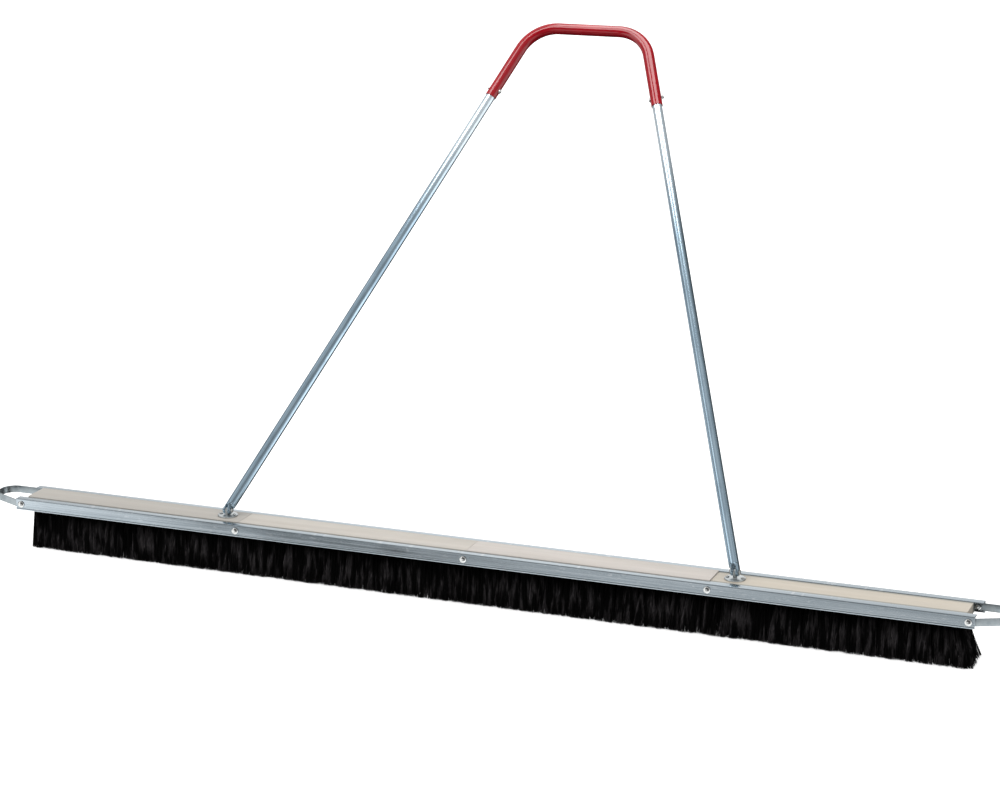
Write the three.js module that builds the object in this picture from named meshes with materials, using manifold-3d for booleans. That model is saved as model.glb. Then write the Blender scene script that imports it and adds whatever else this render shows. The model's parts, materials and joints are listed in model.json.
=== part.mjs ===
// A seven-foot drag brush. Four bristled wooden sections are clamped between two aluminium
// rails, a flat-bar tow loop is bolted to each end, and an A-frame handle tilts on two pivot
// feet. Millimetres, +Z up. The origin is on the ground under the middle of the head, +X runs
// along the head, -Y is its front, and the handle leans back towards +Y.
import * as THREE from 'three';
import Module from 'manifold-3d';
import { mergeVertices } from 'three/addons/utils/BufferGeometryUtils.js';

const wasm = await Module();
wasm.setup();

// ---- Driving dimensions ----

const GAP = 0.3; // left between pieces that touch
const SIDES = [-1, 1]; // left and right, or front and rear
const SIDE_NAMES = { '-1': 'left', 1: 'right' };
const FACE_NAMES = { '-1': 'front', 1: 'rear' };

// Rails
const RAIL_LENGTH = 2133.6;
const RAIL_HEIGHT = 25.4;
const RAIL_THICK = 3.2;
const RAIL_TOP = 111.4; // height of the flange tops above the ground
const RAIL_BOTTOM = RAIL_TOP - RAIL_HEIGHT;
const WEB_FACE = 52.5; // outer face of each web from the centre line
const FLANGE_WIDTH = 19.05;
const RAIL_CORNER_RADIUS = 2;
const BEAD_HEIGHT = 4; // rounded bead along the foot of each web
const BEAD_PROUD = 0.8;

// Bolts of the head
const BOLT_PITCH = 527.05;
const BOLT_Z = RAIL_BOTTOM + RAIL_HEIGHT / 2;
const SEAM_XS = [-BOLT_PITCH, 0, BOLT_PITCH];
const END_BOLT_X = 2 * BOLT_PITCH;
const BOLT_RADIUS = 3.175;
const BOLT_HEAD_RADIUS = 7.6;
const BOLT_HEAD_HEIGHT = 4.2;
const NUT_FLATS = 11.1;
const NUT_HEIGHT = 5.6;
const WASHER_RADIUS = 8;
const WASHER_THICK = 1.6;

// Wooden brush sections
const BLOCK_HALF_LENGTH = 1047; // from the middle of the head to the end of the wood
const BLOCK_RISES = [1.8, 1.8, 1.8, -1]; // each crown above the flange tops, from left to right
const BLOCK_TOPS = BLOCK_RISES.map((rise) => RAIL_TOP + rise);
const BLOCK_BOTTOM = RAIL_BOTTOM + 2;
const BLOCK_BASE_HALF = WEB_FACE - RAIL_THICK - GAP;
const BLOCK_SHOULDER = RAIL_TOP - RAIL_THICK - GAP;
const BLOCK_CROWN_HALF = WEB_FACE - FLANGE_WIDTH - GAP;
const BLOCK_EDGE = 1; // chamfer along the crown
const SEAM_GAP = 0.8;

// Bristle packs
const PACK_TOP_HALF = 32;
const PACK_TIP_HALF = 46.5;
const PACK_LEFT_END = { top: -1032, tip: -1034 };
const PACK_RIGHT_END = { top: 1036, tip: 1063 }; // the tufts at this end splay
const MIDDLE_LEAN = 4; // the tufts at the middle seam lean this far across it

// Tow loops
const STRAP_WIDTH = 15.9;
const STRAP_THICK = 3;
const STRAP_LEG_Y = WEB_FACE - RAIL_THICK - GAP - STRAP_THICK / 2;
const LOOP_END_X = 1145.5; // centre line of the loop's outer end
const LOOP_SLANT = THREE.MathUtils.degToRad(25); // of the front leg past the rail; the rear one is straight
const LOOP_BEND_RADIUS = 14;
const LOOP_REAR_RADIUS = 30;

// Handle
const LEAN = THREE.MathUtils.degToRad(35.9); // back from upright
const PIVOT_Z = RAIL_TOP + 14.1;
const PIVOT_X = 570;
const CORNER_X = 130.6; // where a leg's centre line meets the grip bar's
const SLANT = 1208.2; // from the pivot line up to the grip bar, along the frame
const SPLAY = Math.atan2(PIVOT_X - CORNER_X, SLANT);
const LEG_LENGTH = Math.hypot(PIVOT_X - CORNER_X, SLANT);
const TUBE_RADIUS = 11;
const TUBE_WALL = 1.5;
const GRIP_RADIUS = 12.7;
const GRIP_BORE_RADIUS = 11.3;
const GRIP_LEG = 190; // from a corner down to the grip's end
const GRIP_BEND_RADIUS = 85;
const TUBE_IN_GRIP = 45;
const GRIP_BOLT_UP = 19; // from the grip's end to its cross bolt
const GRIP_BOLT_RADIUS = 2.4;

// Pivot feet
const BASE_RADIUS = 22;
const BASE_THICK = 3;
const BASE_TOPS = { left: BLOCK_TOPS[0], right: BLOCK_TOPS[3] }; // the wood under each base
const LUG_THICK = 5;
const LUG_RADIUS = 7;
const PIVOT_BOLT_RADIUS = 3;
const PIVOT_BOLT_FLATS = 10;
const PIVOT_HEAD_HEIGHT = 2.6;
const PIVOT_NUT_HEIGHT = 3.2;
const FORK_RADIUS = TUBE_RADIUS;
const FORK_LENGTH = 16; // from the pivot to the end of the tube
const FORK_END_RADIUS = 8.2;
const FORK_PLUG_LENGTH = 24;
const FORK_SLOT_DEPTH = 10;
const FORK_FLAT = 8; // half width across the flats that the bolt and nut bear on
const FORK_FLAT_TOP = 7;
const BASE_SCREW_X = 16;
const BASE_SCREW_RADIUS = 2.1;
const BASE_SCREW_HEAD_RADIUS = 4;
const BASE_SCREW_HEAD_HEIGHT = 2.2;
const BASE_SCREW_LENGTH = 20;

// ---- Materials ----

const material = (color, roughness, metalness) =>
  new THREE.MeshStandardMaterial({ color, roughness, metalness });
const railAluminium = () => material(0x9fb0b8, 0.42, 0.9);
const tubeAluminium = () => material(0xc9d4d8, 0.22, 0.95);
const strapSteel = () => material(0x83898c, 0.45, 0.85);
const zincSteel = () => material(0xb9bdbc, 0.3, 0.9);
const brushWood = () => material(0xdccfb8, 0.7, 0);
const bristleBlack = () => material(0x0d0c0c, 0.8, 0);
const gripRed = () => material(0xb01a2d, 0.3, 0.1);

// ---- Solids ----

function solidOf(geometry) {
  const bare = new THREE.BufferGeometry();
  const source = geometry.index ? geometry.toNonIndexed() : geometry;
  bare.setAttribute('position', source.getAttribute('position'));
  const merged = mergeVertices(bare, 1e-4);
  return new wasm.Manifold(new wasm.Mesh({
    numProp: 3,
    vertProperties: new Float32Array(merged.getAttribute('position').array),
    triVerts: new Uint32Array(merged.index.array),
  }));
}

function geometryOf(solid) {
  const mesh = solid.getMesh();
  const geometry = new THREE.BufferGeometry();
  geometry.setAttribute('position', new THREE.BufferAttribute(mesh.vertProperties, 3));
  geometry.setIndex(new THREE.BufferAttribute(mesh.triVerts, 1));
  geometry.computeVertexNormals();
  return geometry;
}

function cut(geometry, cutters) {
  const solid = cutters.reduce((rest, cutter) => rest.subtract(solidOf(cutter)), solidOf(geometry));
  return geometryOf(solid);
}

// A cylinder centred at a point, its axis along x, y or z
function rod(axis, radius, length, [x, y, z], sides = 20) {
  const geometry = new THREE.CylinderGeometry(radius, radius, length, sides);
  if (axis === 'x') geometry.rotateZ(-Math.PI / 2);
  if (axis === 'z') geometry.rotateX(Math.PI / 2);
  return geometry.translate(x, y, z);
}

function block(low, high) {
  const size = high.map((value, i) => value - low[i]);
  const centre = high.map((value, i) => (value + low[i]) / 2);
  return new THREE.BoxGeometry(...size).translate(...centre);
}

// A solid turned about +Z, from a profile of [radius, z] points that starts and ends on the axis
function turned(profile, segments = 20) {
  const points = profile.map(([radius, z]) => new THREE.Vector2(radius, z));
  return new THREE.LatheGeometry(points, segments).rotateX(Math.PI / 2);
}

// An open pipe along +Z between two heights
function pipe(outer, inner, from, to, segments = 24) {
  const profile = [[inner, from], [outer, from], [outer, to], [inner, to], [inner, from]];
  return turned(profile, segments);
}

// A cross-section drawn in (y, z), swept along +X from one place to another
function sweptAlongX(shape, from, to) {
  const options = { depth: to - from, bevelEnabled: false, curveSegments: 6 };
  const swap = new THREE.Matrix4().set(0, 0, 1, from, 1, 0, 0, 0, 0, 1, 0, 0, 0, 0, 0, 1);
  return new THREE.ExtrudeGeometry(shape, options).applyMatrix4(swap);
}

const deg = THREE.MathUtils.degToRad;
const domePoint = (radius, height, base, angle) =>
  [radius * Math.cos(deg(angle)), base + height * Math.sin(deg(angle))];

// A domed bolt: its head sits on z = 0 and points up, and its shank hangs below
function domedBolt(shankRadius, length, headRadius, headHeight) {
  const edge = 0.8;
  const dome = [0, 30, 60].map((angle) => domePoint(headRadius, headHeight - edge, edge, angle));
  const profile = [[0, -length], [shankRadius, -length], [shankRadius, 0], [headRadius, 0], ...dome];
  return turned([...profile, [0, headHeight]]);
}

// A hexagon across its flats, standing on z = 0, bored when a bore radius is given
function hexagon(flats, height, boreRadius = 0) {
  const corner = flats / 2 / Math.cos(Math.PI / 6);
  const corners = [0, 1, 2, 3, 4, 5].map((i) =>
    new THREE.Vector2(corner * Math.cos((i * Math.PI) / 3), corner * Math.sin((i * Math.PI) / 3)));
  const shape = new THREE.Shape(corners);
  if (boreRadius) shape.holes.push(new THREE.Path().absarc(0, 0, boreRadius, 0, 2 * Math.PI));
  return new THREE.ExtrudeGeometry(shape, { depth: height, bevelEnabled: false, curveSegments: 8 });
}

// A hexagon-headed bolt, laid out as the domed one is
function hexBolt(shankRadius, length, flats, headHeight) {
  const shank = rod('z', shankRadius, length + 1, [0, 0, 1 - (length + 1) / 2]);
  return geometryOf(solidOf(hexagon(flats, headHeight)).add(solidOf(shank)));
}

function place(parent, name, geometry, finish, position = [0, 0, 0], rotation = [0, 0, 0]) {
  const mesh = new THREE.Mesh(geometry, finish);
  mesh.name = name;
  mesh.position.set(...position);
  mesh.rotation.set(...rotation);
  parent.add(mesh);
}

// Turns that point a fastener's head along +Y or -Y, or along +X or -X
const facingY = (side) => [-side * Math.PI / 2, 0, 0];
const facingX = (side) => [0, side * Math.PI / 2, 0];

// ---- Head ----

// Half of the head seen end on: the web's outer face is at y = 0 and the rail grows towards +y
function railShape() {
  const beadRadius = ((BEAD_HEIGHT / 2) ** 2 + BEAD_PROUD ** 2) / (2 * BEAD_PROUD);
  const beadAngle = Math.asin(BEAD_HEIGHT / 2 / beadRadius);
  const toe = RAIL_THICK / 2;
  const shape = new THREE.Shape();
  shape.moveTo(RAIL_THICK, 0);
  shape.lineTo(RAIL_THICK, RAIL_HEIGHT - RAIL_THICK);
  shape.lineTo(FLANGE_WIDTH - toe, RAIL_HEIGHT - RAIL_THICK);
  shape.absarc(FLANGE_WIDTH - toe, RAIL_HEIGHT - toe, toe, -Math.PI / 2, Math.PI / 2);
  shape.absarc(RAIL_CORNER_RADIUS, RAIL_HEIGHT - RAIL_CORNER_RADIUS, RAIL_CORNER_RADIUS,
    Math.PI / 2, Math.PI);
  shape.absarc(beadRadius - BEAD_PROUD, BEAD_HEIGHT / 2, beadRadius,
    Math.PI - beadAngle, Math.PI + beadAngle);
  return shape;
}

function rails(parent) {
  const boltXs = [-END_BOLT_X, ...SEAM_XS, END_BOLT_X];
  const holes = boltXs.map((x) =>
    rod('y', BOLT_RADIUS + GAP, 4 * RAIL_THICK, [x, 0, RAIL_HEIGHT / 2], 16));
  const rail = cut(sweptAlongX(railShape(), -RAIL_LENGTH / 2, RAIL_LENGTH / 2), holes);
  for (const face of SIDES) {
    const turn = face > 0 ? Math.PI : 0;
    place(parent, `${FACE_NAMES[face]}_rail`, rail.clone(), railAluminium(),
      [0, face * WEB_FACE, RAIL_BOTTOM], [0, 0, turn]);
  }
}

function blockShape(top) {
  const crown = BLOCK_CROWN_HALF;
  const right = [
    [BLOCK_BASE_HALF, BLOCK_BOTTOM],
    [BLOCK_BASE_HALF, BLOCK_SHOULDER],
    [crown, BLOCK_SHOULDER],
    [crown, top - BLOCK_EDGE],
    [crown - BLOCK_EDGE, top],
  ];
  const left = right.map(([y, z]) => [-y, z]).reverse();
  return new THREE.Shape([...right, ...left].map(([y, z]) => new THREE.Vector2(y, z)));
}

// Each section runs between two seams, or from a seam to the end of the wood
function sectionEnds(index) {
  const from = index === 0 ? -BLOCK_HALF_LENGTH : SEAM_XS[index - 1] + SEAM_GAP / 2;
  const to = index === 3 ? BLOCK_HALF_LENGTH : SEAM_XS[index] - SEAM_GAP / 2;
  return [from, to];
}

function brushBlocks(parent) {
  const notches = SEAM_XS.map((x) =>
    rod('y', BOLT_RADIUS + GAP, 2 * WEB_FACE, [x, 0, BOLT_Z], 16));
  const screwHoles = SIDES.flatMap((side) => SIDES.map((hand) =>
    rod('z', BASE_SCREW_RADIUS + GAP, 2 * BASE_SCREW_LENGTH,
      [side * PIVOT_X + hand * BASE_SCREW_X, 0, RAIL_TOP], 12)));
  for (let i = 0; i < 4; i += 1) {
    const section = sweptAlongX(blockShape(BLOCK_TOPS[i]), ...sectionEnds(i));
    place(parent, `brush_block_${i + 1}`, cut(section, [...notches, ...screwHoles]), brushWood());
  }
}

// A box whose top and bottom reach different places: [low, high] in x and a half width in y
function taperedPack(topXs, tipXs, topZ) {
  const geometry = new THREE.BoxGeometry(2, 2, 2);
  const position = geometry.getAttribute('position');
  for (let i = 0; i < position.count; i += 1) {
    const top = position.getZ(i) > 0;
    const xs = top ? topXs : tipXs;
    const half = top ? PACK_TOP_HALF : PACK_TIP_HALF;
    const x = position.getX(i) < 0 ? xs[0] : xs[1];
    position.setXYZ(i, x, Math.sign(position.getY(i)) * half, top ? topZ : 0);
  }
  return geometry;
}

function bristlePacks(parent) {
  for (let i = 0; i < 4; i += 1) {
    const topXs = sectionEnds(i);
    const tipXs = sectionEnds(i);
    if (i === 0) topXs[0] = PACK_LEFT_END.top;
    if (i === 0) tipXs[0] = PACK_LEFT_END.tip;
    if (i === 1) tipXs[1] += MIDDLE_LEAN;
    if (i === 2) tipXs[0] += MIDDLE_LEAN;
    if (i === 3) topXs[1] = PACK_RIGHT_END.top;
    if (i === 3) tipXs[1] = PACK_RIGHT_END.tip;
    place(parent, `bristles_${i + 1}`, taperedPack(topXs, tipXs, BLOCK_BOTTOM - GAP), bristleBlack());
  }
}

// Points along a polyline whose inner corners are rounded, with the outward normal at each
function roundedLine(corners, radii) {
  const line = [];
  corners.forEach(([x, y], i) => {
    const here = new THREE.Vector2(x, y);
    const before = corners[i - 1] && new THREE.Vector2(...corners[i - 1]).sub(here).normalize();
    const after = corners[i + 1] && new THREE.Vector2(...corners[i + 1]).sub(here).normalize();
    const heading = after ? after.clone() : before.clone().negate();
    if (!before || !after) {
      line.push({ point: here, heading });
      return;
    }
    const turn = Math.PI - before.angleTo(after);
    const hand = Math.sign(before.cross(after));
    const start = here.clone().addScaledVector(before, radii[i] * Math.tan(turn / 2));
    const inward = new THREE.Vector2(before.y, -before.x).multiplyScalar(-hand);
    const centre = start.clone().addScaledVector(inward, radii[i]);
    const steps = Math.max(2, Math.ceil(turn / deg(12)));
    for (let k = 0; k <= steps; k += 1) {
      const angle = (-hand * turn * k) / steps;
      const point = start.clone().rotateAround(centre, angle);
      const along = before.clone().negate().rotateAround(new THREE.Vector2(), angle);
      line.push({ point, heading: along });
    }
  });
  return line;
}

// A flat bar on edge, bent into an eye: it starts and ends at the wood inside the rails
function towLoopGeometry(side) {
  const railEnd = RAIL_LENGTH / 2;
  const legEnd = BLOCK_HALF_LENGTH + GAP;
  const slantRise = (LOOP_END_X - railEnd) * Math.tan(LOOP_SLANT);
  const corners = [[legEnd, -STRAP_LEG_Y], [railEnd, -STRAP_LEG_Y],
    [LOOP_END_X, slantRise - STRAP_LEG_Y], [LOOP_END_X, STRAP_LEG_Y], [legEnd, STRAP_LEG_Y]];
  const radii = [0, LOOP_BEND_RADIUS, LOOP_BEND_RADIUS, LOOP_REAR_RADIUS, 0];
  const line = roundedLine(corners.map(([x, y]) => [side * x, y]), radii);
  const edge = (offset) => line.map(({ point, heading }) =>
    new THREE.Vector2(point.x + offset * heading.y, point.y - offset * heading.x));
  const outline = [...edge(STRAP_THICK / 2), ...edge(-STRAP_THICK / 2).reverse()];
  const bar = new THREE.ExtrudeGeometry(new THREE.Shape(outline),
    { depth: STRAP_WIDTH, bevelEnabled: false });
  const holes = SIDES.map((face) =>
    rod('y', BOLT_RADIUS + GAP, 4 * STRAP_THICK,
      [side * END_BOLT_X, face * STRAP_LEG_Y, STRAP_WIDTH / 2], 16));
  return cut(bar, holes);
}

function towLoops(parent) {
  const low = BOLT_Z - STRAP_WIDTH / 2;
  for (const side of SIDES) {
    place(parent, `tow_loop_${SIDE_NAMES[side]}`, towLoopGeometry(side), strapSteel(), [0, 0, low]);
  }
}

// Long bolts cross the head in the seams, from the front rail to a washer and nut behind
function seamBolts(parent) {
  const face = WEB_FACE + GAP;
  const nutFace = face + WASHER_THICK + GAP;
  const length = face + nutFace + NUT_HEIGHT + 3;
  const washer = pipe(WASHER_RADIUS, BOLT_RADIUS + GAP, 0, WASHER_THICK, 20);
  const bolt = domedBolt(BOLT_RADIUS, length, BOLT_HEAD_RADIUS, BOLT_HEAD_HEIGHT);
  const nut = hexagon(NUT_FLATS, NUT_HEIGHT, BOLT_RADIUS + GAP);
  SEAM_XS.forEach((x, i) => {
    place(parent, `seam_bolt_${i + 1}`, bolt.clone(), zincSteel(), [x, -face, BOLT_Z], facingY(-1));
    place(parent, `seam_washer_${i + 1}`, washer.clone(), zincSteel(), [x, face, BOLT_Z], facingY(1));
    place(parent, `seam_nut_${i + 1}`, nut.clone(), zincSteel(), [x, nutFace, BOLT_Z], facingY(1));
  });
}

// Short bolts hold each leg of a tow loop inside its rail, with the nut on the inner side
function loopBolts(parent) {
  const face = WEB_FACE + GAP;
  const nutFace = STRAP_LEG_Y - STRAP_THICK / 2 - GAP;
  const length = face - nutFace + NUT_HEIGHT + 2;
  const bolt = domedBolt(BOLT_RADIUS, length, BOLT_HEAD_RADIUS, BOLT_HEAD_HEIGHT);
  const nut = hexagon(NUT_FLATS, NUT_HEIGHT, BOLT_RADIUS + GAP);
  for (const side of SIDES) {
    for (const end of SIDES) {
      const name = `${FACE_NAMES[end]}_${SIDE_NAMES[side]}`;
      const x = side * END_BOLT_X;
      place(parent, `loop_bolt_${name}`, bolt.clone(), zincSteel(), [x, end * face, BOLT_Z], facingY(end));
      place(parent, `loop_nut_${name}`, nut.clone(), zincSteel(), [x, end * nutFace, BOLT_Z], facingY(-end));
    }
  }
}

// A round base with an upright lug, which takes the pivot bolt at a height above the wood
function pivotBaseGeometry(up) {
  const disc = turned([[0, GAP], [BASE_RADIUS, GAP], [BASE_RADIUS, BASE_THICK - 0.6],
    [BASE_RADIUS - 1.2, BASE_THICK], [0, BASE_THICK]], 36);
  const outline = new THREE.Shape();
  outline.moveTo(-LUG_RADIUS, GAP + 1);
  outline.lineTo(LUG_RADIUS, GAP + 1);
  outline.absarc(0, up, LUG_RADIUS, 0, Math.PI);
  const lug = sweptAlongX(outline, -LUG_THICK / 2, LUG_THICK / 2);
  const holes = SIDES.map((hand) =>
    rod('z', BASE_SCREW_RADIUS + GAP, 4 * BASE_THICK, [hand * BASE_SCREW_X, 0, 0], 12));
  holes.push(rod('x', PIVOT_BOLT_RADIUS + GAP, 2 * LUG_THICK, [0, 0, up], 16));
  return cut(geometryOf(solidOf(disc).add(solidOf(lug))), holes);
}

function pivotBases(parent) {
  const screw = domedBolt(BASE_SCREW_RADIUS, BASE_SCREW_LENGTH, BASE_SCREW_HEAD_RADIUS,
    BASE_SCREW_HEAD_HEIGHT);
  for (const side of SIDES) {
    const name = SIDE_NAMES[side];
    const x = side * PIVOT_X;
    const wood = BASE_TOPS[name];
    const headZ = wood + BASE_THICK + GAP;
    place(parent, `pivot_base_${name}`, pivotBaseGeometry(PIVOT_Z - wood), zincSteel(), [x, 0, wood]);
    place(parent, `base_screw_${name}_outer`, screw.clone(), zincSteel(), [x + side * BASE_SCREW_X, 0, headZ]);
    place(parent, `base_screw_${name}_inner`, screw.clone(), zincSteel(), [x - side * BASE_SCREW_X, 0, headZ]);
  }
}

// ---- Handle, drawn upright with the pivot line along x through its origin ----

// A fork's side view: a round end about the pivot that widens to the tube, so that it can lie
// down over its base
function forkSideShape(top) {
  const shape = new THREE.Shape();
  shape.moveTo(FORK_END_RADIUS, 0);
  shape.lineTo(FORK_RADIUS, FORK_LENGTH);
  shape.lineTo(FORK_RADIUS, top);
  shape.lineTo(-FORK_RADIUS, top);
  shape.lineTo(-FORK_RADIUS, FORK_LENGTH);
  shape.absarc(0, 0, FORK_END_RADIUS, Math.PI, 2 * Math.PI);
  return shape;
}

// A plug in the tube's end, slotted over the lug. The slot stays square to the pivot line
// while the body follows the leg's splay.
function forkGeometry(side) {
  const plugRadius = TUBE_RADIUS - TUBE_WALL - GAP;
  const low = -2 * FORK_END_RADIUS;
  const top = FORK_LENGTH + FORK_PLUG_LENGTH;
  const body = turned([[0, low], [FORK_RADIUS, low], [FORK_RADIUS, FORK_LENGTH],
    [plugRadius, FORK_LENGTH], [plugRadius, top], [0, top]], 28).rotateY(-side * SPLAY);
  const kept = sweptAlongX(forkSideShape(top + 5), -3 * FORK_RADIUS, 3 * FORK_RADIUS);
  const shaped = geometryOf(solidOf(body).intersect(solidOf(kept)));
  const slotHalf = LUG_THICK / 2 + GAP;
  const slot = block([-slotHalf, -2 * FORK_RADIUS, -3 * FORK_RADIUS], [slotHalf, 2 * FORK_RADIUS, FORK_SLOT_DEPTH]);
  const flats = SIDES.map((hand) => block(
    [Math.min(hand * FORK_FLAT, hand * 4 * FORK_FLAT), -2 * FORK_RADIUS, -3 * FORK_RADIUS],
    [Math.max(hand * FORK_FLAT, hand * 4 * FORK_FLAT), 2 * FORK_RADIUS, FORK_FLAT_TOP]));
  const bore = rod('x', PIVOT_BOLT_RADIUS + GAP, 6 * FORK_RADIUS, [0, 0, 0], 16);
  return cut(shaped, [slot, ...flats, bore]);
}

function pivotForks(parent) {
  const headFace = FORK_FLAT + GAP;
  const length = 2 * headFace + PIVOT_NUT_HEIGHT + 1;
  const bolt = hexBolt(PIVOT_BOLT_RADIUS, length, PIVOT_BOLT_FLATS, PIVOT_HEAD_HEIGHT);
  const nut = hexagon(PIVOT_BOLT_FLATS, PIVOT_NUT_HEIGHT, PIVOT_BOLT_RADIUS + GAP);
  for (const side of SIDES) {
    const name = SIDE_NAMES[side];
    const x = side * PIVOT_X;
    place(parent, `pivot_fork_${name}`, forkGeometry(side), zincSteel(), [x, 0, 0]);
    place(parent, `pivot_bolt_${name}`, bolt.clone(), zincSteel(), [x + side * headFace, 0, 0], facingX(side));
    place(parent, `pivot_nut_${name}`, nut.clone(), zincSteel(), [x - side * headFace, 0, 0], facingX(-side));
  }
}

// Stations along the bent grip: few on its straights, many round its bends. Each holds a point
// and the direction of travel, and the sweep below visits them one by one.
class BentTube extends THREE.Curve {
  constructor(stations) {
    super();
    this.stations = stations;
  }

  station(u) {
    return this.stations[Math.round(u * (this.stations.length - 1))];
  }

  getPoint(u) {
    return this.station(u).point.clone();
  }

  getPointAt(u) {
    return this.getPoint(u);
  }

  getTangentAt(u) {
    return this.station(u).heading.clone();
  }
}

function gripGeometry() {
  const legStart = [PIVOT_X - (LEG_LENGTH - GRIP_LEG) * Math.sin(SPLAY), (LEG_LENGTH - GRIP_LEG) * Math.cos(SPLAY)];
  const corners = [legStart, [CORNER_X, SLANT], [-CORNER_X, SLANT], [-legStart[0], legStart[1]]];
  const radii = [0, GRIP_BEND_RADIUS, GRIP_BEND_RADIUS, 0];
  const stations = roundedLine(corners, radii).map(({ point, heading }) => ({
    point: new THREE.Vector3(point.x, 0, point.y),
    heading: new THREE.Vector3(heading.x, 0, heading.y),
  }));
  const ring = new THREE.Shape().absarc(0, 0, GRIP_RADIUS, 0, 2 * Math.PI);
  ring.holes.push(new THREE.Path().absarc(0, 0, GRIP_BORE_RADIUS, 0, 2 * Math.PI));
  const tube = new THREE.ExtrudeGeometry(ring,
    { steps: stations.length - 1, curveSegments: 10, bevelEnabled: false, extrudePath: new BentTube(stations) });
  const boltAt = LEG_LENGTH - GRIP_LEG + GRIP_BOLT_UP;
  const holes = SIDES.map((side) => rod('x', GRIP_BOLT_RADIUS + GAP, 4 * GRIP_RADIUS, [0, 0, boltAt], 12)
    .rotateY(-side * SPLAY).translate(side * PIVOT_X, 0, 0));
  return cut(tube, holes);
}

function legs(parent) {
  const gripEnd = LEG_LENGTH - GRIP_LEG;
  const boltAt = gripEnd + GRIP_BOLT_UP;
  const bore = TUBE_RADIUS - TUBE_WALL;
  const tube = cut(pipe(TUBE_RADIUS, bore, FORK_LENGTH + GAP, gripEnd + TUBE_IN_GRIP),
    [rod('x', GRIP_BOLT_RADIUS + GAP, 4 * TUBE_RADIUS, [0, 0, boltAt], 12)]);
  const face = GRIP_RADIUS + GAP;
  const flats = 8;
  const nutHeight = 4;
  const bolt = domedBolt(GRIP_BOLT_RADIUS, 2 * face + nutHeight + 2, 5, 3.4);
  const nut = hexagon(flats, nutHeight, GRIP_BOLT_RADIUS + GAP);
  for (const side of SIDES) {
    const leg = new THREE.Group();
    leg.position.set(side * PIVOT_X, 0, 0);
    leg.rotation.y = -side * SPLAY;
    parent.add(leg);
    const name = SIDE_NAMES[side];
    place(leg, `handle_tube_${name}`, tube.clone(), tubeAluminium());
    place(leg, `grip_bolt_${name}`, bolt.clone(), zincSteel(), [-side * face, 0, boltAt], facingX(-side));
    place(leg, `grip_nut_${name}`, nut.clone(), zincSteel(), [side * face, 0, boltAt], facingX(side));
  }
}

// ---- Assembly ----

const dragBrush = new THREE.Group();

const head = new THREE.Group();
rails(head);
brushBlocks(head);
bristlePacks(head);
towLoops(head);
seamBolts(head);
loopBolts(head);
pivotBases(head);
dragBrush.add(head);

const handle = new THREE.Group();
handle.position.z = PIVOT_Z;
handle.rotation.x = -LEAN;
pivotForks(handle);
place(handle, 'grip', gripGeometry(), gripRed());
legs(handle);
dragBrush.add(handle);

export default dragBrush;
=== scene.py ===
"""The looks of a seven-foot drag brush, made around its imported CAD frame.

Metres, +Z up, in the frame's own axes: +X along the head, -Y its front, and the handle leans back
towards +Y. The wooden sections stay the CAD's. Everything else is remade here as a finer mesh on
the same sizes and places.
"""

import json
import math

import bmesh
import bpy
import numpy as np
from mathutils import Euler, Matrix, Vector


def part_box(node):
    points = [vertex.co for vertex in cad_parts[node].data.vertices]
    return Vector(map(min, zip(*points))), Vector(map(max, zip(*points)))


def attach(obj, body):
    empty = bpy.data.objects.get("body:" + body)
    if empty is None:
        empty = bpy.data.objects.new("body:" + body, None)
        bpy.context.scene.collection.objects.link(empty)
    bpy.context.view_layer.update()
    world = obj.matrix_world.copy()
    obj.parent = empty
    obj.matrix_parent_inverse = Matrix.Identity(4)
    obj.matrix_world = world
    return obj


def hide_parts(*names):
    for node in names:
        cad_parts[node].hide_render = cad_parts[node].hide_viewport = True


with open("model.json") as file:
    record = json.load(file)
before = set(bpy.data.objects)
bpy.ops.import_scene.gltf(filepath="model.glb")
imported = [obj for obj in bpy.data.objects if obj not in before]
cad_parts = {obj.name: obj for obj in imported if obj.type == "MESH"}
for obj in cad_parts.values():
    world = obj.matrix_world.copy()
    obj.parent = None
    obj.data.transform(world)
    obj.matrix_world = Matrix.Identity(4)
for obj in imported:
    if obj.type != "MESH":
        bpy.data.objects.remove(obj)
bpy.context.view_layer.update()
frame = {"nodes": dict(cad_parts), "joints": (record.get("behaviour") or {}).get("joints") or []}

# ---- Sizes, in metres ----

MM = 0.001
GAP = 0.3 * MM
SIDES = {"left": -1, "right": 1}
FACES = {"front": -1, "rear": 1}

# Camera
LENS = 95.5
VIEW_AZIMUTH = math.radians(21.26)
VIEW_ELEVATION = math.radians(15.15)
VIEW_TARGET = Vector((0.062, 0.0, 0.434))
VIEW_DISTANCE = 5.4375

# Studio. Greys round the horizon are (azimuth in degrees, radiance), and azimuth 0 is in front.
SKY_STRENGTH = 2.0
FLOOR_GREYS = (
    (-180, 0.5), (-115, 0.6), (-90, 1.3), (-60, 1.5), (-33, 1.7), (-29.1, 1.95), (-27.6, 0.1),
    (-22.4, 0.1), (-20, 1.25), (-18, 1.15), (-16, 0.86), (-8, 0.8), (0, 0.2), (24, 0.2), (34, 1.0),
    (74, 1.1), (80, 2.0), (112, 1.9), (122, 0.12), (162, 0.1), (180, 0.5),
)
WALL_GREYS = (
    (-180, 1.1), (-166, 1.12), (-162, 1.35), (-156, 1.3), (-152, 1.12), (-149, 0.95),
    (-128, 0.35), (-62, 0.5), (-56, 2.0), (-40, 2.0), (-34, 0.1), (24, 0.08), (34, 0.42),
    (65, 0.42), (71, 1.3), (108, 1.3), (116, 0.2), (165, 0.08), (174, 1.1),
)
CEILING_GREYS = (
    (-180, 0.6), (-150, 1.0), (-80, 1.0), (-60, 0.55), (60, 0.6), (96, 0.5), (112, 0.22),
    (130, 0.2),
)
LIGHT_TARGET = Vector((0, 0, 0.3))  # what the softboxes face
FLOOR_HALF = 30

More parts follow.
